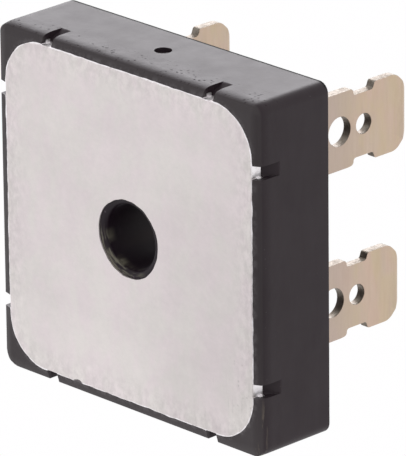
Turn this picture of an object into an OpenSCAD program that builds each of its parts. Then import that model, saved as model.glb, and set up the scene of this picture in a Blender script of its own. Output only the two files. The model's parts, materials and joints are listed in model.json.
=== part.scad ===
// Single-phase bridge rectifier in a square screw-down case with push-on tabs.
//
// The part stands on one edge of its case. The bare metal plate faces -Y, the four
// tabs point to +Y, +X is to the right of someone looking at the plate, and +Z is up.
// The origin is on the axis of the screw hole, in the plane of the plate's bare face.
// Flat pieces are drawn as outlines in X and Z and are given their depth along Y.

/* [Case] */
// Side of the square case
case_side = 28.6; // [27.6:0.1:34]
// Distance from the plate's bare face to the terminal face of the case
case_back = 7.5; // [6:0.1:12]
// Radius of the four corners of the case
case_corner_r = 0.9; // [0.6:0.1:2.5]
// Rounding along the back edges of the case
case_edge_r = 0.1; // [0.05:0.05:0.5]
// How far the front rim of the case lies below the plate's bare face, where it meets it
rim_recess = 0.04; // [0.02:0.01:0.2]
// Width of the band along the rim's outer edge that slopes back
rim_slope_w = 0.7; // [0.3:0.05:1.1]
// How much further back the rim's outer edge lies than the rim at the plate
rim_fall = 0.2; // [0.05:0.01:0.4]

/* [Base plate] */
// Side of the plate's bare face
plate_side = 27.1; // [26:0.1:27.4]
// Radius of the plate's corners
plate_corner_r = 4; // [3:0.1:8]
// Thickness of the plate
plate_t = 1; // [0.8:0.1:2]
// How far the buried step of the plate reaches beyond its bare face
plate_lip = 0.2; // [0.1:0.05:0.3]
// Thickness of that buried step
plate_lip_t = 0.5; // [0.3:0.05:0.6]
// Diameter of the plate's hole, which the moulding lines
plate_hole_d = 6.5; // [6:0.1:7]

/* [Screw hole] */
// Diameter of the lined hole through the whole part
screw_hole_d = 5.3; // [4.2:0.1:5.6]
// How far the lining lies below the plate's bare face
lining_recess = 0.12; // [0.02:0.02:0.3]

/* [Locating notches] */
// Distance of each notch from the middle of its side
notch_offset = 8.85; // [7:0.05:9.5]
// Width of a notch
notch_w = 1.1; // [0.6:0.05:1.6]
// Length of the ramp by which a notch runs out behind the plate
notch_ramp_l = 1.2; // [0.4:0.1:2]
// How deep a notch bites into the edge of the plate
notch_bite = 0.05; // [0.05:0.05:0.4]

/* [Gate mark] */
// Diameter of the round mark that the mould's gate leaves in the top side
gate_mark_d = 1.4; // [0.8:0.1:2]
// Depth of the gate mark
gate_mark_depth = 0.35; // [0.1:0.05:0.6]
// Distance of the gate mark from the plate's bare face
gate_mark_y = 4; // [3:0.1:4.5]

/* [Insulation] */
// Thickness of the adhesive layers on both sides of the ceramic sheet
bond_t = 0.1; // [0.05:0.01:0.2]
// Thickness of the ceramic sheet
ceramic_t = 0.38; // [0.25:0.01:0.63]
// Side of the square ceramic sheet
ceramic_side = 22.6; // [22:0.1:24]
// Diameter of the ceramic sheet's hole, round the screw hole
ceramic_hole_d = 8; // [7.4:0.1:8.4]

/* [Chips] */
// Side of each square diode chip
chip_side = 3.3; // [2:0.1:3.4]
// Thickness of each diode chip
chip_t = 0.25; // [0.15:0.01:0.4]
// Thickness of each solder layer
solder_t = 0.08; // [0.04:0.01:0.15]
// How far the solder stays inside the edge of its chip
solder_inset = 0.15; // [0.05:0.05:0.4]

/* [Terminals] */
// Thickness of the sheet that the terminals are stamped from
sheet_t = 0.8; // [0.6:0.05:0.9]
// Inner radius of each fold
fold_r = 0.4; // [0.2:0.05:0.5]
// Distance of the tabs' middles from the screw hole, to the left and right
tab_x = 9.2; // [8.9:0.1:9.6]
// Height of the upper tabs' middle above the screw hole
tab_upper_z = 7.6; // [7:0.05:8]
// Depth of the lower tabs' middle below the screw hole
tab_lower_z = 6.3; // [6.2:0.05:6.9]
// Distance of the alternating-current tabs' tips from the plate's bare face
ac_tip_y = 19.95; // [18.8:0.05:24]
// Distance of the plus and minus tabs' tips from the plate's bare face
dc_tip_y = 20.75; // [18.8:0.05:24]
// Least distance of the terminals from the axis of the screw hole
terminal_clear = 4.7; // [4.2:0.1:4.8]
// Margin of a terminal's flat part round the chip that it carries
chip_margin = 0.2; // [0.1:0.05:0.25]
// Length of the flat root, as wide as the tab, that leads into each fold
root_l = 2; // [1:0.1:3]

/* [Tab outline] */
// Width of the tab's root and blade
tab_w = 6.3; // [5.8:0.1:6.5]
// Width of the tab's waist
waist_w = 5.16; // [4:0.1:5.5]
// Distance from the tip back to the shoulder below the blade
blade_l = 3.65; // [3:0.05:5]
// Distance from the tip back to the step below the waist
waist_end = 5.75; // [5.2:0.05:8]
// Chamfer at the two corners of the tip
tip_chamfer = 1.05; // [0.5:0.05:1.5]
// Radius that rounds both ends of each chamfer
tip_round = 1.25; // [0.2:0.05:1.6]
// Length of the lead-in bevel on the tip's edges
tip_bevel_l = 0.35; // [0.1:0.05:0.8]
// Depth of the lead-in bevel on each face
tip_bevel_depth = 0.15; // [0.05:0.05:0.25]
// Diameter of the wire hole near the root
wire_hole_d = 2.4; // [1.5:0.1:2.6]
// Distance from the tip back to the wire hole
wire_hole_back = 7.3; // [6.9:0.1:7.5]
// Diameter of the detent hole, which a push-on receptacle snaps into
detent_hole_d = 1.65; // [1.2:0.05:1.8]
// Distance from the tip back to the detent hole
detent_hole_back = 4.65; // [4:0.05:4.8]

/* [Hidden] */
CHIPS = ["diode_chip_1", "diode_chip_2", "diode_chip_3", "diode_chip_4"];
LOWER_SOLDERS = ["lower_solder_1", "lower_solder_2", "lower_solder_3", "lower_solder_4"];
UPPER_SOLDERS = ["upper_solder_1", "upper_solder_2", "upper_solder_3", "upper_solder_4"];
$fn = 64;

// Small overlap that lets a cutting shape pass cleanly through a face
cut = 0.05;
// Steps in each rounded corner of the tab outline
corner_steps = 6;
// Radius of the waist's corners, as a share of the step that they round
corner_share = 0.4;

half_case = case_side / 2;
half_plate = plate_side / 2;
fold_out = fold_r + sheet_t;

// Depths of the stacked layers, from the plate outwards
bond_y = plate_t;
ceramic_y = bond_y + bond_t;
terminal_bond_y = ceramic_y + ceramic_t;
ac_y = terminal_bond_y + bond_t;
lower_solder_y = ac_y + sheet_t;
chip_y = lower_solder_y + solder_t;
upper_solder_y = chip_y + chip_t;
dc_y = upper_solder_y + solder_t;

// Where the flat part of a side terminal starts, inside its fold
flat_x = tab_x + sheet_t / 2 - fold_out;
// The chips sit on the inner part of the flats, in an upper and a lower row
chip_x = terminal_clear + chip_margin + chip_side / 2;
upper_chip_z = tab_upper_z;
plus_flat_top = -tab_lower_z + sheet_t / 2 - fold_out;
lower_chip_z = plus_flat_top - chip_margin - chip_side / 2;
chip_reach = chip_side / 2 + chip_margin;
// Left and right, then the two rows: chips 1 and 2 are below, 3 and 4 above
CHIP_PLACES = [for (z = [lower_chip_z, upper_chip_z], side = [-1, 1]) [side * chip_x, z]];
// How far the direct-current bars stop short of the tab that rises beside them
bar_end_x = tab_x - sheet_t / 2 - fold_r - sheet_t / 2;

// A flat piece drawn in X and Z, from depth y onwards
module layer(y, t) {
    translate([0, y + t, 0])
        rotate([90, 0, 0])
            linear_extrude(t)
                children();
}

// A round bar or cone along Y, from depth y onwards
module bar_along_y(y, length, r_front, r_back) {
    translate([0, y, 0])
        rotate([-90, 0, 0])
            cylinder(h = length, r1 = r_front, r2 = r_back);
}

module rounded_square(side, r) {
    inner = side - 2 * r;
    square([side, inner], center = true);
    square([inner, side], center = true);
    for (x = [-inner / 2, inner / 2], z = [-inner / 2, inner / 2])
        translate([x, z])
            circle(r);
}

// The block of the case: straight sides, a rolled back edge and a sloping front rim
module case_block() {
    edge_y = rim_recess + rim_fall;
    slope_w = min(rim_slope_w, case_corner_r);
    layer(edge_y, case_back - case_edge_r - edge_y)
        rounded_square(case_side, case_corner_r);
    layer(edge_y, case_back - edge_y)
        rounded_square(case_side - 2 * case_edge_r, case_corner_r - case_edge_r);
    translate([0, case_back - case_edge_r, 0])
        edge_roll(case_side, case_corner_r, case_edge_r);
    layer(rim_recess, plate_t)
        rounded_square(case_side - 2 * slope_w, case_corner_r - slope_w);
    rim_slope(edge_y, slope_w);
}

// The band that falls back from the rim to the sides of the case. Its section has its
// first value outwards and its second value along Y
module rim_slope(edge_y, slope_w) {
    straight = case_side - 2 * case_corner_r;
    foot_y = rim_recess + plate_t;
    section = [[case_corner_r - slope_w, rim_recess], [case_corner_r, edge_y],
               [case_corner_r, foot_y], [case_corner_r - slope_w, foot_y]];
    for (turn = [0 : 90 : 270])
        rotate([0, turn, 0]) {
            translate([-straight / 2, 0, 0])
                rotate([90, 0, 90])
                    linear_extrude(straight)
                        polygon([for (point = section) [point[1], straight / 2 + point[0]]]);
            translate([straight / 2, 0, straight / 2])
                rotate([90, 0, 0])
                    rotate_extrude(angle = 90)
                        polygon([for (point = section) [point[0], -point[1]]]);
        }
}

// A closed round bead that follows the edge of a rounded square
module edge_roll(side, corner_r, edge_r) {
    straight = side - 2 * corner_r;
    for (turn = [0 : 90 : 270])
        rotate([0, turn, 0]) {
            translate([-straight / 2, 0, side / 2 - edge_r])
                rotate([0, 90, 0])
                    cylinder(h = straight, r = edge_r);
            translate([straight / 2, 0, straight / 2])
                rotate([90, 0, 0])
                    rotate_extrude(angle = 90)
                        translate([corner_r - edge_r, 0])
                            circle(edge_r);
        }
}

// The eight marks that the mould's locating pins leave round the rim. Each is as deep as
// the plate's edge along the plate, and runs out on a ramp behind it. Its section has its
// first value along Y and its second value outwards
module notches() {
    floor_at = half_plate - notch_bite;
    rise = (half_case - floor_at) / notch_ramp_l;
    ramp_end = plate_t + notch_ramp_l;
    outside = half_case + rise * cut;
    for (turn = [0 : 90 : 270], offset = [-notch_offset, notch_offset])
        rotate([0, turn, 0])
            translate([offset - notch_w / 2, 0, 0])
                rotate([90, 0, 90])
                    linear_extrude(notch_w)
                        polygon([[-cut, floor_at], [plate_t, floor_at],
                                 [ramp_end + cut, outside], [-cut, outside]]);
}

module base_plate() {
    color([0.84, 0.82, 0.82])
        difference() {
            union() {
                layer(0, plate_t)
                    rounded_square(plate_side, plate_corner_r);
                layer(plate_t - plate_lip_t, plate_lip_t)
                    rounded_square(plate_side + 2 * plate_lip, plate_corner_r + plate_lip);
            }
            bar_along_y(-cut, plate_t + 2 * cut, plate_hole_d / 2, plate_hole_d / 2);
            notches();
        }
}

module plate_bond() {
    color([0.9, 0.88, 0.8])
        layer(bond_y, bond_t)
            ceramic_outline();
}

module ceramic_insulator() {
    color([0.95, 0.94, 0.9])
        layer(ceramic_y, ceramic_t)
            ceramic_outline();
}

module ceramic_outline() {
    difference() {
        square(ceramic_side, center = true);
        circle(d = ceramic_hole_d);
    }
}

// Flat part of an alternating-current terminal, which lies on the right, under a chip
// of each row, and widens to the tab's root at height tab_z
module ac_flat_outline(tab_z) {
    z_low = lower_chip_z - chip_reach;
    z_high = upper_chip_z + chip_reach;
    translate([terminal_clear, z_low])
        square([flat_x - terminal_clear, z_high - z_low]);
    tab_root_outline(tab_z);
}

// The root of a tab that rises on the right-hand side at height tab_z
module tab_root_outline(tab_z) {
    translate([flat_x - root_l, tab_z - tab_w / 2])
        square([root_l, tab_w]);
}

module terminal_bond_left() {
    color([0.9, 0.88, 0.8])
        layer(terminal_bond_y, bond_t)
            mirror([1, 0])
                ac_flat_outline(tab_upper_z);
}

module terminal_bond_right() {
    color([0.9, 0.88, 0.8])
        layer(terminal_bond_y, bond_t)
            ac_flat_outline(-tab_lower_z);
}

module ac_terminal_left() {
    color([0.77, 0.7, 0.62]) {
        layer(ac_y, sheet_t)
            mirror([1, 0])
                ac_flat_outline(tab_upper_z);
        translate([-tab_x, 0, tab_upper_z])
            folded_tab(ac_y, ac_tip_y);
    }
}

module ac_terminal_right() {
    color([0.77, 0.7, 0.62]) {
        layer(ac_y, sheet_t)
            ac_flat_outline(-tab_lower_z);
        translate([tab_x, 0, -tab_lower_z])
            mirror([1, 0, 0])
                folded_tab(ac_y, ac_tip_y);
    }
}

// The plus bar joins the lower chips, and its tab is turned a quarter to mark the pole
module plus_terminal() {
    bar_h = 2 * chip_reach;
    color([0.77, 0.7, 0.62]) {
        layer(dc_y, sheet_t)
            translate([-tab_x - tab_w / 2, plus_flat_top - bar_h])
                square([tab_x + tab_w / 2 + bar_end_x, bar_h]);
        translate([-tab_x, 0, -tab_lower_z])
            rotate([0, 90, 0])
                folded_tab(dc_y, dc_tip_y);
    }
}

// The minus bar joins the upper chips
module minus_terminal() {
    bar_h = 2 * chip_reach;
    color([0.77, 0.7, 0.62]) {
        layer(dc_y, sheet_t) {
            translate([-bar_end_x, upper_chip_z - bar_h / 2])
                square([bar_end_x + flat_x, bar_h]);
            tab_root_outline(tab_upper_z);
        }
        translate([tab_x, 0, tab_upper_z])
            mirror([1, 0, 0])
                folded_tab(dc_y, dc_tip_y);
    }
}

// A tab that stands at x = 0 with its width along Z, and the fold that turns it
// into the flat part, which goes on towards +X
module folded_tab(strip_y, tip_y) {
    translate([fold_out - sheet_t / 2, strip_y + fold_out, -tab_w / 2])
        linear_extrude(tab_w)
            quarter_ring(fold_r, fold_out);
    rotate([0, 90, 0])
        intersection() {
            linear_extrude(sheet_t, center = true)
                tab_outline(strip_y + fold_out, tip_y);
            rotate([90, 0, 90])
                linear_extrude(tab_w, center = true)
                    tab_section(strip_y + fold_out, tip_y);
        }
}

// The quarter of a ring that lies towards -X and -Y
module quarter_ring(r_in, r_out) {
    intersection() {
        difference() {
            circle(r_out);
            circle(r_in);
        }
        translate([-r_out, -r_out])
            square(r_out);
    }
}

// The tab seen from its broad side: root, waist, blade and the two holes
module tab_outline(foot_y, tip_y) {
    half = tab_w / 2;
    half_waist = waist_w / 2;
    step = half - half_waist;
    step_y = tip_y - waist_end;
    shoulder_y = tip_y - blade_l;
    // x, y and corner radius of the right-hand side, from the foot to the tip
    right_side = [
        [half, foot_y, 0],
        [half, step_y, step * (1 - corner_share)],
        [half_waist, step_y, step * corner_share],
        [half_waist, shoulder_y, step * corner_share],
        [half, shoulder_y + step * corner_share, step * corner_share],
        [half, tip_y - tip_chamfer, tip_round],
        [half - tip_chamfer, tip_y, tip_round]
    ];
    count = len(right_side);
    left_side = [for (i = [count - 1 : -1 : 0])
        [-right_side[i][0], right_side[i][1], right_side[i][2]]];
    difference() {
        polygon(rounded_corners(concat(right_side, left_side)));
        translate([0, tip_y - wire_hole_back])
            circle(d = wire_hole_d);
        translate([0, tip_y - detent_hole_back])
            circle(d = detent_hole_d);
    }
}

// The tab seen edge-on, with a lead-in bevel on both faces of the tip
module tab_section(foot_y, tip_y) {
    half = sheet_t / 2;
    half_tip = half - tip_bevel_depth;
    polygon([
        [foot_y, -half],
        [tip_y - tip_bevel_l, -half],
        [tip_y, -half_tip],
        [tip_y, half_tip],
        [tip_y - tip_bevel_l, half],
        [foot_y, half]
    ]);
}

module diode_chip(place) {
    color([0.35, 0.36, 0.4])
        layer(chip_y, chip_t)
            translate(place)
                square(chip_side, center = true);
}

module solder(place, y) {
    color([0.75, 0.76, 0.78])
        layer(y, solder_t)
            translate(place)
                square(chip_side - 2 * solder_inset, center = true);
}

// Everything that the moulding compound flows round
module inner_parts() {
    plate_bond();
    ceramic_insulator();
    terminal_bond_left();
    terminal_bond_right();
    ac_terminal_left();
    ac_terminal_right();
    plus_terminal();
    minus_terminal();
    for (place = CHIP_PLACES) {
        diode_chip(place);
        solder(place, lower_solder_y);
        solder(place, upper_solder_y);
    }
}

module moulded_case() {
    plate_hole_r = plate_hole_d / 2;
    screw_hole_r = screw_hole_d / 2;
    color([0.2, 0.19, 0.2])
        difference() {
            union() {
                case_block();
                bar_along_y(lining_recess, plate_t, plate_hole_r, plate_hole_r);
            }
            base_plate();
            inner_parts();
            notches();
            bar_along_y(-cut, lining_recess + cut, plate_hole_r + cut, plate_hole_r + cut);
            bar_along_y(-cut, case_back + 2 * cut, screw_hole_r, screw_hole_r);
            translate([0, gate_mark_y, half_case - gate_mark_depth])
                cylinder(h = gate_mark_depth + cut, d = gate_mark_d);
        }
}

// A corner of an outline, replaced by an arc of its own radius
function unit(v) = v / norm(v);
function corner_arc(before, corner, after) =
    let (
        p = [corner[0], corner[1]],
        a = unit([before[0], before[1]] - p),
        b = unit([after[0], after[1]] - p),
        half_angle = acos(a * b) / 2,
        r = corner[2],
        start = p + a * r / tan(half_angle),
        end = p + b * r / tan(half_angle),
        centre = p + unit(a + b) * r / sin(half_angle),
        from_angle = atan2(start[1] - centre[1], start[0] - centre[0]),
        to_angle = atan2(end[1] - centre[1], end[0] - centre[0]),
        sweep = (to_angle - from_angle + 540) % 360 - 180
    )
    r == 0 ? [p] : [for (i = [0 : corner_steps])
        let (angle = from_angle + sweep * i / corner_steps)
        centre + r * [cos(angle), sin(angle)]];
function rounded_corners(corners) =
    let (n = len(corners))
    [for (i = [0 : n - 1])
        each corner_arc(corners[(i + n - 1) % n], corners[i], corners[(i + 1) % n])];

base_plate();
moulded_case();
plate_bond();
ceramic_insulator();
terminal_bond_left();
terminal_bond_right();
ac_terminal_left();
ac_terminal_right();
plus_terminal();
minus_terminal();
for (i = [0 : len(CHIPS) - 1]) {
    diode_chip(CHIP_PLACES[i]);
    solder(CHIP_PLACES[i], lower_solder_y);
    solder(CHIP_PLACES[i], upper_solder_y);
}
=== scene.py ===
# %% [markdown]
# # Dressing a square bridge rectifier
# A bridge rectifier of this kind is a small black square with a bare metal plate on one face
# and four push-on tabs on the other. The solids come from the construction model, so every size
# is settled already. This lesson gives them the marks of a real moulding and of stamped metal:
# edges that aren't quite straight, rolled corners, mottled metal and dull black resin.

# %% Load the solids
import json
import math

import bmesh
import bpy
from mathutils import Matrix, Vector, noise


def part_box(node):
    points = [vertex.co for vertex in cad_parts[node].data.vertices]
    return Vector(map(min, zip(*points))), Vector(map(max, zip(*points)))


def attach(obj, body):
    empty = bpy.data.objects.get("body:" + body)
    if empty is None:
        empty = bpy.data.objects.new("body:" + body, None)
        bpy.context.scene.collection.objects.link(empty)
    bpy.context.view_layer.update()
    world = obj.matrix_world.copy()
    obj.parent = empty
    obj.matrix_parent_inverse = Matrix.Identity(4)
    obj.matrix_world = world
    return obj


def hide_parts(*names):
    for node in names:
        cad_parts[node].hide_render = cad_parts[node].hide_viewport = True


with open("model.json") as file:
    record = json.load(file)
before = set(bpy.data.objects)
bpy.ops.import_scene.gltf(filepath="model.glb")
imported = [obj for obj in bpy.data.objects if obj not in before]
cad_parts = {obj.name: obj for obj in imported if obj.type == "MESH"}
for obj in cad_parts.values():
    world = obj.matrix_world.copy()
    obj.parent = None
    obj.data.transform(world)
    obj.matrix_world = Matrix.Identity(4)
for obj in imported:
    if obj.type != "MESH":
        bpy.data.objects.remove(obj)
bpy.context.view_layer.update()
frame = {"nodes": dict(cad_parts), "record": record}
scene = bpy.context.scene
MM = 0.001

# %% [markdown]
# ## Sizes that the looks depend on
# The plate and the case give their own boxes, so the places of edges are read from them and not
# typed in. The screw hole's radius comes from the record's mount.

# %% Read the main sizes
plate_low, plate_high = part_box("base_plate")
case_low, case_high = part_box("moulded_case")
mounts = {mount["name"]: mount for mount in frame["record"]["mounts"]}
HOLE_R = mounts["screw_hole"]["dims"]["r_mm"]
CASE_HALF = case_high.x / MM
CASE_BACK = case_high.y / MM
PLATE_LIP = 0.2
PLATE_HALF = plate_high.x / MM - PLATE_LIP
PLATE_CORNER = 4.0
RIM_EDGE = case_low.y / MM + 0.2
LINER_R = 3.25
LINER_RECESS = mounts["screw_hole"]["pos_m"][1] / MM
print("case half side", round(CASE_HALF, 2), "plate half side", round(PLATE_HALF, 2), "bore", HOLE_R)

# %% [markdown]
# ## Camera
# The part is seen from the right and from above, from about half a metre with a long lens. A
# camera is easiest to place by its own three axes: one points back along the view, one to the
# right and one up, and a small roll turns the last two.

# %% Place the camera
AZIMUTH = math.radians(45.7185)
ELEVATION = math.radians(20.8068)
ROLL = math.radians(-0.6288)
CAMERA_SIDE = 5.75
CAMERA_UP = 0.8160
CAMERA_DISTANCE = 552.065
LENS = 567.8

back = Vector((math.sin(AZIMUTH) * math.cos(ELEVATION),
               -math.cos(AZIMUTH) * math.cos(ELEVATION),
               math.sin(ELEVATION)))
level_right = Vector((math.cos(AZIMUTH), math.sin(AZIMUTH), 0))
level_up = back.cross(level_right)
right = math.cos(ROLL) * level_right + math.sin(ROLL) * level_up
up = -math.sin(ROLL) * level_right + math.cos(ROLL) * level_up

camera_data = bpy.data.cameras.new("camera")
camera_data.lens = LENS
camera_data.sensor_width = 36
camera_data.clip_start = 0.01
camera_data.clip_end = 50
camera = bpy.data.objects.new("camera", camera_data)
scene.collection.objects.link(camera)
stand = (right * CAMERA_SIDE + up * CAMERA_UP + back * CAMERA_DISTANCE) * MM
turn = Matrix((right, up, back)).transposed().to_4x4()
camera.matrix_world = Matrix.Translation(stand) @ turn
scene.camera = camera
scene.view_settings.view_transform = "Standard"
print("camera at", [round(v, 4) for v in stand])

# %% [markdown]
# ## Helpers for materials
# A material is a small network. Writing each node out in full hides what the network does, so
# one helper adds a node and fills its sockets, and a few short ones stand for common nodes.

# %% Node helpers
def put(tree, kind, options=None, by_index=(), **by_name):
    """Adds a node. Options are its settings; a socket takes a value or another node's output."""
    node = tree.nodes.new("ShaderNode" + kind)
    for option, value in (options or {}).items():
        setattr(node, option, value)
    pairs = [(node.inputs[i], value) for i, value in enumerate(by_index) if value is not None]
    pairs += [(node.inputs[name.replace("_", " ")], value) for name, value in by_name.items()]
    for socket, value in pairs:
        if isinstance(value, bpy.types.NodeSocket):
            tree.links.new(value, socket)
        else:
            socket.default_value = value
    return node


def maths(tree, operation, *values):
    """One sum on numbers, such as ADD or MULTIPLY."""
    return put(tree, "Math", {"operation": operation}, values).outputs[0]


def spread(tree, value, low, high, to_low=0.0, to_high=1.0):
    """Turns the range from low to high into another range, with soft ends."""
    options = {"interpolation_type": "SMOOTHSTEP"}
    return put(tree, "MapRange", options, (value, low, high, to_low, to_high)).outputs[0]


def mix(tree, factor, first, second, blend="MIX"):
    """Mixes two colours."""
    options = {"data_type": "RGBA", "blend_type": blend, "clamp_result": True}
    node = put(tree, "Mix", options, (factor, None, None, None, None, None, first, second))
    return node.outputs[2]


def grain_noise(tree, place, scale, detail=3.0, roughness=0.55):
    """Noise at so many waves to the millimetre."""
    return put(tree, "TexNoise", None, Vector=place, Scale=scale, Detail=detail,
               Roughness=roughness).outputs[0]


def stretched(tree, place, factors):
    """Stretches or squeezes a pattern along the three axes."""
    return put(tree, "VectorMath", {"operation": "MULTIPLY"}, (place, factors)).outputs[0]


def rgb(red, green, blue):
    """A colour with full alpha."""
    return (red, green, blue, 1.0)


print("node helpers ready")

# %% [markdown]
# ## Effects that several finishes share
# Real surfaces are never one colour. Cast and rolled metal is patchy, everything has fine grain,
# and handling leaves specks. Each effect is a node group that gives out only a mask from 0 to 1,
# so the same group can darken a resin, lighten a metal or roughen either.

# %% Start a node group
def new_group(name, inputs):
    """A node group with a place in millimetres, some numbers with defaults, and one mask."""
    group = bpy.data.node_groups.new(name, "ShaderNodeTree")
    group.interface.new_socket("Place", in_out="INPUT", socket_type="NodeSocketVector")
    for title, default in inputs.items():
        socket = group.interface.new_socket(title, in_out="INPUT", socket_type="NodeSocketFloat")
        socket.default_value = default
    group.interface.new_socket("Mask", in_out="OUTPUT", socket_type="NodeSocketFloat")
    start = group.nodes.new("NodeGroupInput")
    end = group.nodes.new("NodeGroupOutput")
    return group, start.outputs, end.inputs["Mask"]


def use_group(tree, group, place, **numbers):
    """Puts a node group in a material and gives back its mask."""
    node = tree.nodes.new("ShaderNodeGroup")
    node.node_tree = group
    tree.links.new(place, node.inputs["Place"])
    for title, value in numbers.items():
        node.inputs[title].default_value = value
    return node.outputs["Mask"]


print("groups can be made")

# %% [markdown]
# Patches are slow, cloudy changes of shade. Noise gives them, and a narrower range gives them
# more contrast.

# %% Patches
patches, entry, mask = new_group("patches", {"Scale": 0.3, "Contrast": 0.2})
cloud = put(patches, "TexNoise", None, Vector=entry["Place"], Scale=entry["Scale"],
            Detail=3.0, Roughness=0.6, Distortion=0.4)
lowest = maths(patches, "SUBTRACT", 0.5, entry["Contrast"])
highest = maths(patches, "ADD", 0.5, entry["Contrast"])
patches.links.new(spread(patches, cloud.outputs[0], lowest, highest), mask)
print("patches:", len(patches.nodes), "nodes")

# %% [markdown]
# Specks are small round spots, such as pits or dust. Cells of a Voronoi pattern give them their
# places, and only those cells whose random colour is high enough get one.

# %% Specks
specks, entry, mask = new_group("specks", {"Scale": 1.0, "Radius": 0.2, "Share": 0.3})
cells = put(specks, "TexVoronoi", None, Vector=entry["Place"], Scale=entry["Scale"])
near = spread(specks, cells.outputs["Distance"], entry["Radius"], 0.0)
lucky = put(specks, "SeparateColor", None, (cells.outputs["Color"],)).outputs[0]
chosen = maths(specks, "LESS_THAN", lucky, entry["Share"])
specks.links.new(maths(specks, "MULTIPLY", near, chosen), mask)
print("specks:", len(specks.nodes), "nodes")

# %% [markdown]
# Scratches are thin lines that mostly run one way. Noise that is squeezed hard across and
# stretched along looks like brushed lines, and a high threshold leaves only a few of them.

# %% Scratches
scratches, entry, mask = new_group("scratches", {"Scale": 1.0, "Rarity": 0.62})
lines = put(scratches, "TexNoise", None, Vector=entry["Place"], Scale=entry["Scale"],
            Detail=4.0, Roughness=0.7)
top = maths(scratches, "ADD", entry["Rarity"], 0.08)
scratches.links.new(spread(scratches, lines.outputs[0], entry["Rarity"], top), mask)
print("scratches:", len(scratches.nodes), "nodes")

# %% [markdown]
# Every material starts the same way: one shader, and the place of each point in millimetres.

# %% Start a material
def new_material(name, **numbers):
    """A material with one shader; gives back the material, its tree, the place and the shader."""
    material = bpy.data.materials.new(name)
    material.use_nodes = True
    tree = material.node_tree
    tree.nodes.clear()
    shader = put(tree, "BsdfPrincipled", None, (), **numbers)
    end = put(tree, "OutputMaterial")
    tree.links.new(shader.outputs[0], end.inputs[0])
    where = put(tree, "TexCoord").outputs["Object"]
    place = put(tree, "VectorMath", {"operation": "SCALE"}, (where,), Scale=1 / MM).outputs[0]
    return material, tree, place, shader


def bump(tree, shader, height, distance_mm, strength=1.0):
    """Gives a shader fine relief, so many millimetres deep."""
    node = put(tree, "Bump", None, Height=height, Distance=distance_mm * MM, Strength=strength)
    tree.links.new(node.outputs[0], shader.inputs["Normal"])


print("materials can be made")

# %% [markdown]
# ## Plate metal
# The plate is soft, satin metal that was ground or tumbled and then handled. Its shade changes at
# every scale at once, which noise with many equal octaves gives. Its right side is a little darker
# and its lower left a little lighter, and some spots are pitted. A bright, broken line along its
# edge is a painted highlight, and so is the near white of the lip that shows in the notches. The
# distance to the edge of a rounded square is a short sum, so the line and the pits can follow the
# edge.

# %% Measure the distance to the plate's edge
def beyond(tree, value, limit):
    """How far a coordinate lies beyond a limit on either side, and 0 inside it."""
    return maths(tree, "MAXIMUM", maths(tree, "SUBTRACT", maths(tree, "ABSOLUTE", value), limit), 0.0)


def length_of(tree, first, second):
    """The length of two sides of a right angle."""
    squares = maths(tree, "ADD", maths(tree, "POWER", first, 2.0), maths(tree, "POWER", second, 2.0))
    return maths(tree, "SQRT", squares)


def corner_distance(tree, place, straight):
    """The distance from the square that the plate's corners are rounded round."""
    x, y, z = put(tree, "SeparateXYZ", None, (place,)).outputs
    return x, z, length_of(tree, beyond(tree, x, straight), beyond(tree, z, straight))


print("edge of the plate at", PLATE_CORNER, "mm from its corner square")

# %% Make the plate metal
plate_metal, tree, place, shader = new_material("plate_metal", Metallic=1.0, Roughness=0.42)
x, z, reach = corner_distance(tree, place, PLATE_HALF - PLATE_CORNER)
hue = use_group(tree, patches, stretched(tree, place, (1.3, 1.0, 0.8)), Scale=0.3, Contrast=0.15)
tone = mix(tree, hue, rgb(0.700, 0.664, 0.648), rgb(0.712, 0.650, 0.658))
cloudy = grain_noise(tree, stretched(tree, place, (0.8, 1.0, 1.0)), 0.16, 6.0, 0.8)
shade = spread(tree, cloudy, 0.3, 0.7, 0.945, 1.055)
darker_right = maths(tree, "MULTIPLY", spread(tree, x, 0.5, 7.0), spread(tree, z, 8.0, 1.5))
shade = maths(tree, "SUBTRACT", shade, maths(tree, "MULTIPLY", darker_right, 0.06))
lighter_lower_left = maths(tree, "MULTIPLY", spread(tree, x, 5.0, 1.0), spread(tree, z, -6.0, -11.0))
shade = maths(tree, "ADD", shade, maths(tree, "MULTIPLY", lighter_lower_left, 0.035))

border = spread(tree, reach, PLATE_CORNER - 3.0, PLATE_CORNER)
mottle = grain_noise(tree, stretched(tree, place, (1.0, 1.0, 0.7)), 1.5, 3.0, 0.7)
uneven = spread(tree, mottle, 0.3, 0.7, -0.11, 0.07)
shade = maths(tree, "ADD", shade, maths(tree, "MULTIPLY", uneven, border))
lines = use_group(tree, scratches, stretched(tree, place, (1.0, 1.0, 0.1)), Scale=2.6, Rarity=0.58)
scuffs_and_highlight = maths(tree, "MULTIPLY", spread(tree, x, 4.0, 10.0), spread(tree, z, -7.0, -12.0))
lines = maths(tree, "MULTIPLY", lines, scuffs_and_highlight)
pits = use_group(tree, specks, place, Scale=2.2, Radius=0.3, Share=0.35)
pitted = maths(tree, "MULTIPLY", spread(tree, x, 10.3, 12.5), spread(tree, z, -5.0, -7.5))
pits = maths(tree, "MULTIPLY", pits, pitted)
marks = maths(tree, "ADD", maths(tree, "MULTIPLY", lines, 0.10), maths(tree, "MULTIPLY", pits, 0.22))
shade = maths(tree, "SUBTRACT", shade, marks)
tone = mix(tree, 1.0, tone, put(tree, "CombineColor", None, (shade, shade, shade)).outputs[0], "MULTIPLY")

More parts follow.
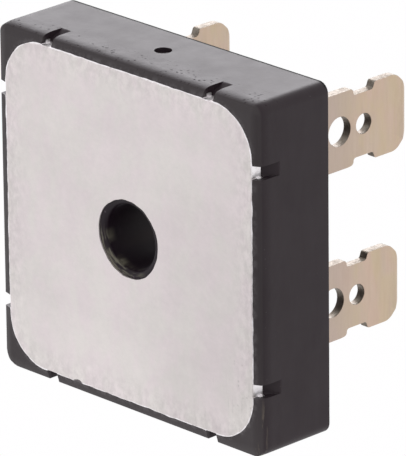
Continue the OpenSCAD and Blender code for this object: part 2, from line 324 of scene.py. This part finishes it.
grain = grain_noise(tree, stretched(tree, place, (0.8, 1.0, 1.0)), 2.2, 3.0, 0.75)
grain = spread(tree, grain, 0.3, 0.7, 0.985, 1.015)
tone = mix(tree, 1.0, tone, put(tree, "CombineColor", None, (grain, grain, grain)).outputs[0], "MULTIPLY")
ragged = spread(tree, grain_noise(tree, place, 1.3, 3.0, 0.7), 0.3, 0.7, -0.05, 0.05)
# A bright, broken line painted along the plate's edge is a painted highlight.
edge_highlight = spread(tree, maths(tree, "ADD", reach, ragged), PLATE_CORNER - 0.13, PLATE_CORNER - 0.03)
tone = mix(tree, edge_highlight, tone, rgb(0.93, 0.90, 0.92))
# The lip beyond the outline, which shows in the notches, is painted nearly white as a painted highlight.
lip = spread(tree, reach, PLATE_CORNER + 0.02, PLATE_CORNER + 0.06)
tone = mix(tree, lip, tone, rgb(0.93, 0.92, 0.91))
smear_x = maths(tree, "MULTIPLY", maths(tree, "ADD", x, 5.85), 1.0 / 0.55)
smear_z = maths(tree, "MULTIPLY", maths(tree, "ADD", z, PLATE_HALF + 0.03), 1.0 / 0.25)
smear = maths(tree, "ADD", length_of(tree, smear_x, smear_z), maths(tree, "MULTIPLY", ragged, 4.0))
smear = spread(tree, smear, 1.1, 0.9)
tone = mix(tree, smear, tone, rgb(0.075, 0.062, 0.068))
tree.links.new(tone, shader.inputs["Base Color"])
tree.links.new(maths(tree, "SUBTRACT", 1.0, smear), shader.inputs["Metallic"])
tree.links.new(spread(tree, cloudy, 0.3, 0.7, 0.37, 0.47), shader.inputs["Roughness"])
relief = maths(tree, "SUBTRACT", mottle, maths(tree, "ADD", pits, lines))
bump(tree, shader, relief, 0.02, 0.35)
print("plate metal:", len(tree.nodes), "nodes")

# %% [markdown]
# ## Case resin
# The case is a filled black moulding compound: nearly black, dull, and a little warm. Seen at a
# slant it shines grey, which the shader's own gloss gives. The mould leaves faint texture and
# flow streaks, and small pits gather along the top's front edge. The rim round the plate is
# painted lighter as painted light, most in a ragged band along the plate's edge; the lower left of
# the hole's funnel has a painted highlight, and the funnel has lighter specks round the bore. A
# nearly black line along the top's back edge is painted shade.

# %% Make the case resin
case_resin, tree, place, shader = new_material("case_resin", Roughness=0.5, Specular_IOR_Level=0.27,
                                               Sheen_Weight=0.05, Sheen_Roughness=0.3)
x, y, z = put(tree, "SeparateXYZ", None, (place,)).outputs
clouds = use_group(tree, patches, place, Scale=0.22, Contrast=0.22)
streak = use_group(tree, patches, stretched(tree, place, (1.0, 1.0, 0.2)), Scale=0.9, Contrast=0.25)
tone = mix(tree, clouds, rgb(0.0165, 0.0090, 0.0125), rgb(0.0215, 0.0135, 0.0170))
tone = mix(tree, maths(tree, "MULTIPLY", streak, 0.4), tone, rgb(0.025, 0.018, 0.022))

on_top = spread(tree, z, CASE_HALF - 0.5, CASE_HALF - 0.3)
near_front = spread(tree, y, 3.4, 0.8)
pits = use_group(tree, specks, place, Scale=2.8, Radius=0.4, Share=0.4)
pits = maths(tree, "MULTIPLY", pits, maths(tree, "MULTIPLY", near_front, on_top))
back_edge_shade = maths(tree, "MULTIPLY", on_top, spread(tree, y, CASE_BACK - 0.32, CASE_BACK - 0.14))
dust = use_group(tree, specks, place, Scale=1.9, Radius=0.13, Share=0.1)
tone = mix(tree, maths(tree, "MULTIPLY", dust, 0.12), tone, rgb(0.3, 0.29, 0.29))

distance_in = length_of(tree, x, z)
inside_hole = spread(tree, distance_in, LINER_R + 0.4, LINER_R + 0.2)
rings = put(tree, "CombineXYZ", None, (maths(tree, "MULTIPLY", distance_in, 3.0),
                                       maths(tree, "MULTIPLY", x, 0.35),
                                       maths(tree, "MULTIPLY", z, 0.35))).outputs[0]
# The lower left of the hole's funnel gets a painted highlight in ragged rings.
ring_bands = spread(tree, grain_noise(tree, rings, 1.6, 3.0, 0.6), 0.46, 0.66)
low_side = spread(tree, maths(tree, "ADD", x, maths(tree, "MULTIPLY", z, 1.6)), -1.5, -5.0)
shallow = spread(tree, y, 1.3, 0.5)
tone = mix(tree, inside_hole, tone, rgb(0.0060, 0.0005, 0.0050))
scuffs_and_highlight = maths(tree, "MULTIPLY", maths(tree, "MULTIPLY", ring_bands, low_side),
                maths(tree, "MULTIPLY", inside_hole, shallow))
tone = mix(tree, scuffs_and_highlight, tone, rgb(0.130, 0.120, 0.090))
funnel_specks = use_group(tree, specks, place, Scale=2.6, Radius=0.3, Share=0.25)
funnel_specks = maths(tree, "MULTIPLY", funnel_specks, spread(tree, distance_in, LINER_R - 0.5, LINER_R - 0.15))
funnel_specks = maths(tree, "MULTIPLY", funnel_specks, maths(tree, "MULTIPLY", inside_hole, shallow))
tone = mix(tree, maths(tree, "MULTIPLY", funnel_specks, 0.5), tone, rgb(0.16, 0.13, 0.15))

plate_reach = corner_distance(tree, place, PLATE_HALF - PLATE_CORNER)[2]
by_plate = spread(tree, plate_reach, PLATE_CORNER + 0.45, PLATE_CORNER + 0.05)
by_plate = maths(tree, "MULTIPLY", by_plate, spread(tree, y, 0.5, 0.3))
by_plate = maths(tree, "MULTIPLY", by_plate, spread(tree, distance_in, 8.0, 9.0))
# The rim round the plate is painted lighter, and lighter still in a ragged band along the plate's edge:
# painted light.
rim = maths(tree, "MULTIPLY", spread(tree, distance_in, 8.0, 9.0), spread(tree, y, 0.55, 0.25))
tone = mix(tree, maths(tree, "MULTIPLY", rim, 0.75), tone, rgb(0.043, 0.036, 0.038))
ragged_light_by_plate = spread(tree, grain_noise(tree, place, 1.4, 3.0, 0.7), 0.42, 0.62)
ragged_light_by_plate = maths(tree, "MULTIPLY", by_plate, ragged_light_by_plate)
tone = mix(tree, maths(tree, "MULTIPLY", ragged_light_by_plate, 0.8), tone, rgb(0.085, 0.076, 0.080))
drips = use_group(tree, scratches, stretched(tree, place, (1.0, 1.0, 0.1)), Scale=2.6, Rarity=0.5)
drip_place = maths(tree, "MULTIPLY", spread(tree, z, -9.0, -11.5), spread(tree, x, 13.5, 13.8))
drip_place = maths(tree, "MULTIPLY", drip_place, spread(tree, y, 0.9, 0.5))
drips = maths(tree, "MULTIPLY", drips, drip_place)
tone = mix(tree, maths(tree, "MULTIPLY", drips, 0.8), tone, rgb(0.115, 0.095, 0.075))
# A nearly black line painted along the top's back edge is painted shade.
tone = mix(tree, back_edge_shade, tone, rgb(0.002, 0.002, 0.002))
tree.links.new(tone, shader.inputs["Base Color"])

skin = grain_noise(tree, place, 1.6, 4.0, 0.6)
slow_skin = grain_noise(tree, place, 0.4, 4.0, 0.6)
dulled = maths(tree, "MULTIPLY", maths(tree, "ADD", pits, back_edge_shade), 0.4)
roughness = maths(tree, "ADD", spread(tree, slow_skin, 0.3, 0.7, 0.48, 0.52), dulled)
tree.links.new(roughness, shader.inputs["Roughness"])
rough_front = spread(tree, y, 3.4, 0.8, 0.2, 1.0)
relief = maths(tree, "SUBTRACT", maths(tree, "MULTIPLY", skin, rough_front), pits)
bump(tree, shader, relief, 0.035, 0.6)
print("case resin:", len(tree.nodes), "nodes")

# %% [markdown]
# ## Tinned copper
# The terminals are stamped from copper strip with a thin coat of tin, which leaves a pale, tan
# metal. Rolling the strip draws fine streaks along its length. The coat is greyer near the case
# and yellower at the blade. The punch shears the edges and the holes through the coat, so their
# walls are rougher and browner. Which faces were sheared is kept as a mask on the mesh.

# %% Make the tinned copper
tinned_copper, tree, place, shader = new_material("tinned_copper", Metallic=1.0, Roughness=0.4)
lengthwise = stretched(tree, place, (1.0, 1.0, 0.12))
rolled = use_group(tree, patches, lengthwise, Scale=1.3, Contrast=0.22)
stain = use_group(tree, patches, stretched(tree, place, (1.0, 1.0, 0.5)), Scale=0.45, Contrast=0.14)
yellow = use_group(tree, patches, stretched(tree, place, (0.8, 1.0, 0.4)), Scale=0.7, Contrast=0.12)
tone = mix(tree, rolled, rgb(0.525, 0.415, 0.325), rgb(0.565, 0.455, 0.365))
tone = mix(tree, maths(tree, "MULTIPLY", stain, 0.45), tone, rgb(0.60, 0.43, 0.35))
tone = mix(tree, maths(tree, "MULTIPLY", yellow, 0.45), tone, rgb(0.555, 0.455, 0.29))
x, y, z = put(tree, "SeparateXYZ", None, (place,)).outputs
to_root = spread(tree, y, 16.5, 12.5)
tone = mix(tree, maths(tree, "MULTIPLY", to_root, 0.75), tone, rgb(0.475, 0.385, 0.335))
sheared = put(tree, "Attribute", {"attribute_name": "sheared"}).outputs["Fac"]
torn = use_group(tree, patches, place, Scale=2.2, Contrast=0.2)
edge_tone = mix(tree, torn, rgb(0.19, 0.16, 0.13), rgb(0.28, 0.25, 0.215))
tone = mix(tree, sheared, tone, edge_tone)
tree.links.new(tone, shader.inputs["Base Color"])
fine = grain_noise(tree, lengthwise, 5.0, 3.0)
roughness = maths(tree, "ADD", spread(tree, fine, 0.3, 0.7, 0.33, 0.45),
                  maths(tree, "MULTIPLY", sheared, 0.12))
tree.links.new(roughness, shader.inputs["Roughness"])
bump(tree, shader, fine, 0.008, 0.5)
print("tinned copper:", len(tree.nodes), "nodes")

# %% [markdown]
# ## Hidden finishes
# The insulation, chips and solder are sealed in the moulding. They still get a plain finish of
# the right kind, so that the part can be taken apart in the library.

# %% Make the hidden finishes
def hidden_finish(name, dark, light, scale, **numbers):
    """A plain finish with slow patches between two shades, and a little relief."""
    material, tree, place, shader = new_material(name, **numbers)
    shade = use_group(tree, patches, place, Scale=scale, Contrast=0.25)
    tree.links.new(mix(tree, shade, dark, light), shader.inputs["Base Color"])
    bump(tree, shader, grain_noise(tree, place, scale * 4), 0.005, 0.4)
    return material


ceramic = hidden_finish("ceramic", rgb(0.82, 0.80, 0.75), rgb(0.90, 0.89, 0.85), 1.5, Roughness=0.6)
adhesive = hidden_finish("adhesive", rgb(0.70, 0.65, 0.50), rgb(0.79, 0.74, 0.60), 1.0, Roughness=0.45)
silicon = hidden_finish("silicon", rgb(0.09, 0.095, 0.12), rgb(0.12, 0.125, 0.15), 2.0, Roughness=0.18)
solder = hidden_finish("solder", rgb(0.46, 0.47, 0.49), rgb(0.56, 0.57, 0.59), 3.0,
                       Roughness=0.35, Metallic=1.0)
print("hidden finishes:", ceramic.name, adhesive.name, silicon.name, solder.name)

# %% [markdown]
# ## Pieces made from the solids
# A visible piece starts as a copy of its solid. The solid is loose triangles, so the copy is
# merged first, and flat neighbours are joined. Then it can be cut, rounded and bent a little,
# which a CAD solid can't be.

# %% Copy a solid, and finish a piece
def copy_of(node):
    """A merged copy of a solid's mesh, with its flat neighbours joined."""
    shape = bmesh.new()
    shape.from_mesh(frame["nodes"][node].data)
    bmesh.ops.remove_doubles(shape, verts=shape.verts, dist=0.0005 * MM)
    bmesh.ops.dissolve_limit(shape, angle_limit=math.radians(0.2), verts=shape.verts,
                             edges=shape.edges)
    return shape


def finish_piece(shape, name, material, slot, *nodes, smooth_deg=35):
    """Makes the piece an object that rides on the root body and stands for its solids."""
    mesh = bpy.data.meshes.new(name)
    bmesh.ops.triangulate(shape, faces=shape.faces)
    shape.to_mesh(mesh)
    shape.free()
    imported_normals = mesh.attributes.get("custom_normal")
    if imported_normals:
        mesh.attributes.remove(imported_normals)
    mesh.polygons.foreach_set("use_smooth", [True] * len(mesh.polygons))
    mesh.set_sharp_from_angle(angle=math.radians(smooth_deg))
    mesh.materials.append(material)
    piece = bpy.data.objects.new(name, mesh)
    scene.collection.objects.link(piece)
    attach(piece, "root")
    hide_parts(*nodes)
    print(name, len(mesh.polygons), "triangles")
    return piece


print("copies can be made")

# %% [markdown]
# Moulding resin never meets a metal plate in a perfect line. Both pieces are cut into a grid so
# that their shared edge has points to move, and one function moves the points of both, so the
# resin still meets the plate everywhere.

# %% Cut a shape into a grid
def cut_grid(shape, axis, start, stop, step):
    """Cuts the whole shape with parallel planes across one axis, at places in millimetres."""
    normal = Vector([1.0 if i == axis else 0.0 for i in range(3)])
    count = round((stop - start) / step)
    for i in range(count + 1):
        geometry = list(shape.verts) + list(shape.edges) + list(shape.faces)
        at = normal * (start + i * step) * MM
        bmesh.ops.bisect_plane(shape, geom=geometry, dist=0.002 * MM, plane_co=at, plane_no=normal)
    return count + 1


GRID_STEP = 0.3
print("planes across the plate:", round(2 * PLATE_HALF / GRID_STEP))

# %% Bend the shared edges
def edge_wave(x, z):
    """How far, in millimetres, a shared edge wanders from its line at a place."""
    slow = noise.noise(Vector((x * 0.55, 3.1, z * 0.55)))
    quick = noise.noise(Vector((x * 1.7, 8.7, z * 1.7)))
    covered = min(max((x - 12.5) / 1.0, 0.0), 1.0)
    return 0.04 * slow + (0.05 + 0.03 * covered) * quick - 0.03 * covered


def bend_shared_edges(shape, depth_limit):
    """Moves the points near the plate's outline and its hole in or out along the plate."""
    inner = PLATE_HALF - PLATE_CORNER
    moved = 0
    for point in shape.verts:
        x, y, z = (v / MM for v in point.co)
        corner = Vector((max(abs(x) - inner, 0.0), 0, max(abs(z) - inner, 0.0)))
        from_outline = corner.length - PLATE_CORNER
        from_hole = math.hypot(x, z) - LINER_R
        if y > depth_limit or min(abs(from_outline), abs(from_hole)) > 0.3:
            continue
        if abs(from_hole) < 0.3:
            outward, away = Vector((x, 0, z)).normalized(), from_hole
        else:
            signed = Vector((math.copysign(corner.x, x), 0, math.copysign(corner.z, z)))
            outward, away = signed.normalized(), from_outline
        push = edge_wave(x, z)
        if outward.z > 0 and abs(from_hole) < 0.3:
            push -= 0.14 * outward.z ** 2
        point.co += outward * push * (1.0 - (away / 0.3) ** 2) * MM
        moved += 1
    return moved


print("edge wave at the right side:", round(edge_wave(PLATE_HALF, 0), 3), "mm")

# %% Pick sharp edges
def sharp_edges(shape, wanted, least_deg=30):
    """The edges between two faces that meet at an angle, where both ends are wanted."""
    return [edge for edge in shape.edges
            if len(edge.link_faces) == 2
            and edge.calc_face_angle() > math.radians(least_deg)
            and all(wanted(point.co / MM) for point in edge.verts)]


def soften(shape, edges, offset, segments):
    """Rounds edges by an offset in millimetres."""
    bmesh.ops.bevel(shape, geom=edges, offset=offset * MM, segments=segments, profile=0.5,
                    affect="EDGES", material=-1, clamp_overlap=False)
    print("rounded", len(edges), "edges by", offset, "mm")


# %% [markdown]
# ## Base plate
# The plate is a flat stamping. Its front edge is rounded a little, which catches the light as a
# thin bright line, so the edge is bevelled before the grid is cut.

# %% Make the base plate
shape = copy_of("base_plate")
soften(shape, sharp_edges(shape, lambda point: point.y < 0.001), 0.04, 2)
for axis in (0, 2):
    cut_grid(shape, axis, -PLATE_HALF + 0.15, PLATE_HALF - 0.15, GRID_STEP)
print("points bent:", bend_shared_edges(shape, 0.6))
base_plate = finish_piece(shape, "plate_body", plate_metal, "plate_metal", "base_plate")

# %% [markdown]
# ## Moulded case
# The case is one moulding. The lining of its screw hole opens like a small funnel, its edges are
# a little rounded, and its top and right side sink slightly towards the front rim, as thick
# resin does when it cures. The funnel and the edges are bevels, and the sink is a gentle bend.

# %% Cut and round the case
shape = copy_of("moulded_case")
soften(shape, sharp_edges(shape, lambda point: abs(point.y - LINER_RECESS) < 0.002
                          and abs(math.hypot(point.x, point.z) - HOLE_R) < 0.01), 0.42, 5)
soften(shape, sharp_edges(shape, lambda point: abs(point.y - RIM_EDGE) < 0.002
                          and max(abs(point.x), abs(point.z)) > CASE_HALF - 0.9, 20), 0.08, 3)
soften(shape, sharp_edges(shape, lambda point: RIM_EDGE + 0.1 < point.y < 2.5
                          and max(abs(point.x), abs(point.z)) > CASE_HALF - 0.9, 20), 0.08, 2)
for axis in (0, 2):
    cut_grid(shape, axis, -PLATE_HALF + 0.15, PLATE_HALF - 0.15, GRID_STEP)
cut_grid(shape, 1, 0.34, 2.4, 0.1)
print("points bent:", bend_shared_edges(shape, 0.6))

# %% [markdown]
# The mould was worn unevenly. The edges of the top and of the right side are broadly rounded
# towards the rim, and the lower left corner is rounder than the others. Both are gentle pulls
# inward on the points near the surface, so the case stays inside its box.

# %% Round the worn edges of the mould
ROUND_LENGTH = 1.0
ROUND_DEPTH = 0.30
SKIN_DEPTH = 0.5
CASE_CORNER = 0.9
WORN_CORNER = 1.5


def from_outline(x, z, corner):
    """The way outward from the case's outline, and how far outside it a point lies."""
    inner = CASE_HALF - corner
    way = Vector((math.copysign(max(abs(x) - inner, 0.0), x), 0.0,
                  math.copysign(max(abs(z) - inner, 0.0), z)))
    return (way.normalized() if way.length else way), way.length - corner


def wear_mould(shape):
    """Pulls the outer points of the case inward at the worn edges."""
    for point in shape.verts:
        x, y, z = (v / MM for v in point.co)
        way, outside = from_outline(x, z, CASE_CORNER)
        if outside < -SKIN_DEPTH or way.length == 0:
            continue
        near = 1.0 + outside / SKIN_DEPTH
        sides = max(way.x, 0.0) ** 2 + max(way.z, 0.0) ** 2
        along = min(max(1.0 - (y - RIM_EDGE) / ROUND_LENGTH, 0.0), 1.0)
        pull = ROUND_DEPTH * (1.0 - math.sqrt(1.0 - along ** 2))
        rough = 0.012 * abs(noise.noise(Vector((x * 0.9, y * 0.9, z * 0.9))))
        point.co -= way * (pull + rough) * sides * near * MM
        if x < 0 and z < 0:
            x, y, z = (v / MM for v in point.co)
            way, outside = from_outline(x, z, WORN_CORNER)
            if outside > 0:
                point.co -= way * outside * MM


wear_mould(shape)
moulded_case = finish_piece(shape, "case_body", case_resin, "case_resin", "moulded_case",
                            smooth_deg=30)

# %% [markdown]
# ## Terminals
# Each terminal is one strip, stamped and folded. Stamping rolls the edges on one side of the
# strip, so all the edges of the part that shows get a small round.

# %% Make the terminals
def make_terminal(node):
    """A terminal whose showing edges are rounded, with a mask on the faces that were sheared."""
    shape = copy_of(node)
    soften(shape, sharp_edges(shape, lambda point: point.y > CASE_BACK + 0.3, 40), 0.07, 3)
    strip = finish_piece(shape, node + "_strip", tinned_copper, "tinned_copper", node, smooth_deg=25)
    thin_way = 2 if node == "plus_terminal" else 0
    mask = strip.data.attributes.new("sheared", "FLOAT", "FACE")
    faces = strip.data.polygons
    mask.data.foreach_set("value", [float(abs(face.normal[thin_way]) < 0.6) for face in faces])
    return strip


terminals = [make_terminal(node) for node in frame["nodes"] if "_terminal" in node]
print("terminals:", len(terminals))

# %% [markdown]
# ## Inner pieces
# The sealed pieces keep their solids and only take a finish. The solids that a dressed piece
# stands for take the same finish as the piece.

# %% Finish the solids
FINISHES = {"base_plate": plate_metal, "moulded_case": case_resin, "plate_bond": adhesive,
            "ceramic": ceramic, "terminal_bond": adhesive, "ac_terminal": tinned_copper,
            "plus_terminal": tinned_copper, "minus_terminal": tinned_copper,
            "diode_chip": silicon, "lower_solder": solder, "upper_solder": solder}
for node, solid in frame["nodes"].items():
    solid.data.materials.clear()
    solid.data.materials.append(next(finish for name, finish in FINISHES.items()
                                     if node.startswith(name)))
print("finished:", len(frame["nodes"]), "solids")

# %% [markdown]
# ## Floor and light
# The part stands on a white table in an even, white studio, with no shadow under it. A floor that
# gives out a little light of its own does this, and the white world behind it continues it. One
# soft box behind the part, higher than it, makes the slanted gloss on its top.

# %% Make the floor
shape = bmesh.new()
bmesh.ops.create_grid(shape, x_segments=1, y_segments=1, size=3.0)
bmesh.ops.translate(shape, verts=shape.verts, vec=Vector((0, 0, case_low.z - 0.01 * MM)))
floor_mesh = bpy.data.meshes.new("floor")
shape.to_mesh(floor_mesh)
shape.free()
floor = bpy.data.objects.new("floor", floor_mesh)
scene.collection.objects.link(floor)
floor_paint = bpy.data.materials.new("floor_paint")
floor_paint.use_nodes = True
tree = floor_paint.node_tree
tree.nodes.clear()
glow = put(tree, "Emission", None, Color=rgb(1, 0.995, 1), Strength=1.0)
tree.links.new(glow.outputs[0], put(tree, "OutputMaterial").inputs[0])
floor_mesh.materials.append(floor_paint)
print("floor at", round(case_low.z / MM, 2), "mm")

# %% Light the studio
world = bpy.data.worlds.new("studio")
scene.world = world
world.use_nodes = True
world.node_tree.nodes["Background"].inputs["Color"].default_value = rgb(1, 0.995, 1)
world.node_tree.nodes["Background"].inputs["Strength"].default_value = 1.0


def soft_box(name, azimuth, elevation, distance, size, strength):
    """A square soft light that faces the part; angles as for the camera, in degrees."""
    light = bpy.data.lights.new(name, "AREA")
    light.shape = "SQUARE"
    light.size = size
    light.energy = strength
    light.color = (0.985, 0.965, 1.0)
    box = bpy.data.objects.new(name, light)
    scene.collection.objects.link(box)
    around, above = math.radians(azimuth), math.radians(elevation)
    away = Vector((math.sin(around) * math.cos(above), -math.cos(around) * math.cos(above),
                   math.sin(above)))
    box.matrix_world = Matrix.Translation(away * distance) @ away.to_track_quat("Z", "Y").to_matrix().to_4x4()
    box.visible_camera = False
    return box


soft_box("rear_box", 225.7, 24, 1.0, 0.6, 5.5)


# %% [markdown]
# Photographers lay a dark card on the table between the part and the camera. The part doesn't
# show it to the camera, but rounded edges that face it mirror it as a soft dark line.

# %% Lay the card
CARD_NEAR = 18
CARD_FAR = 120
CARD_HALF_WIDTH = 26
shape = bmesh.new()
bmesh.ops.create_grid(shape, x_segments=1, y_segments=1, size=1.0)
bmesh.ops.scale(shape, verts=shape.verts,
                vec=Vector((CARD_HALF_WIDTH, (CARD_FAR - CARD_NEAR) / 2, 1.0)) * MM)
bmesh.ops.translate(shape, verts=shape.verts, vec=Vector((0, -(CARD_FAR + CARD_NEAR) / 2, 1.0)) * MM)
bmesh.ops.rotate(shape, verts=shape.verts, matrix=Matrix.Rotation(AZIMUTH, 3, "Z"))
bmesh.ops.translate(shape, verts=shape.verts, vec=Vector((0, 0, case_low.z)))
card_mesh = bpy.data.meshes.new("card")
shape.to_mesh(card_mesh)
shape.free()
card = bpy.data.objects.new("card", card_mesh)
scene.collection.objects.link(card)
card.visible_camera = False
card_paper = bpy.data.materials.new("card_paper")
card_paper.use_nodes = True
tree = card_paper.node_tree
tree.nodes.clear()
paper = put(tree, "BsdfDiffuse", None, (rgb(0.25, 0.25, 0.25),))
tree.links.new(paper.outputs[0], put(tree, "OutputMaterial").inputs[0])
card_mesh.materials.append(card_paper)
print("card laid", CARD_NEAR, "mm in front of the middle")
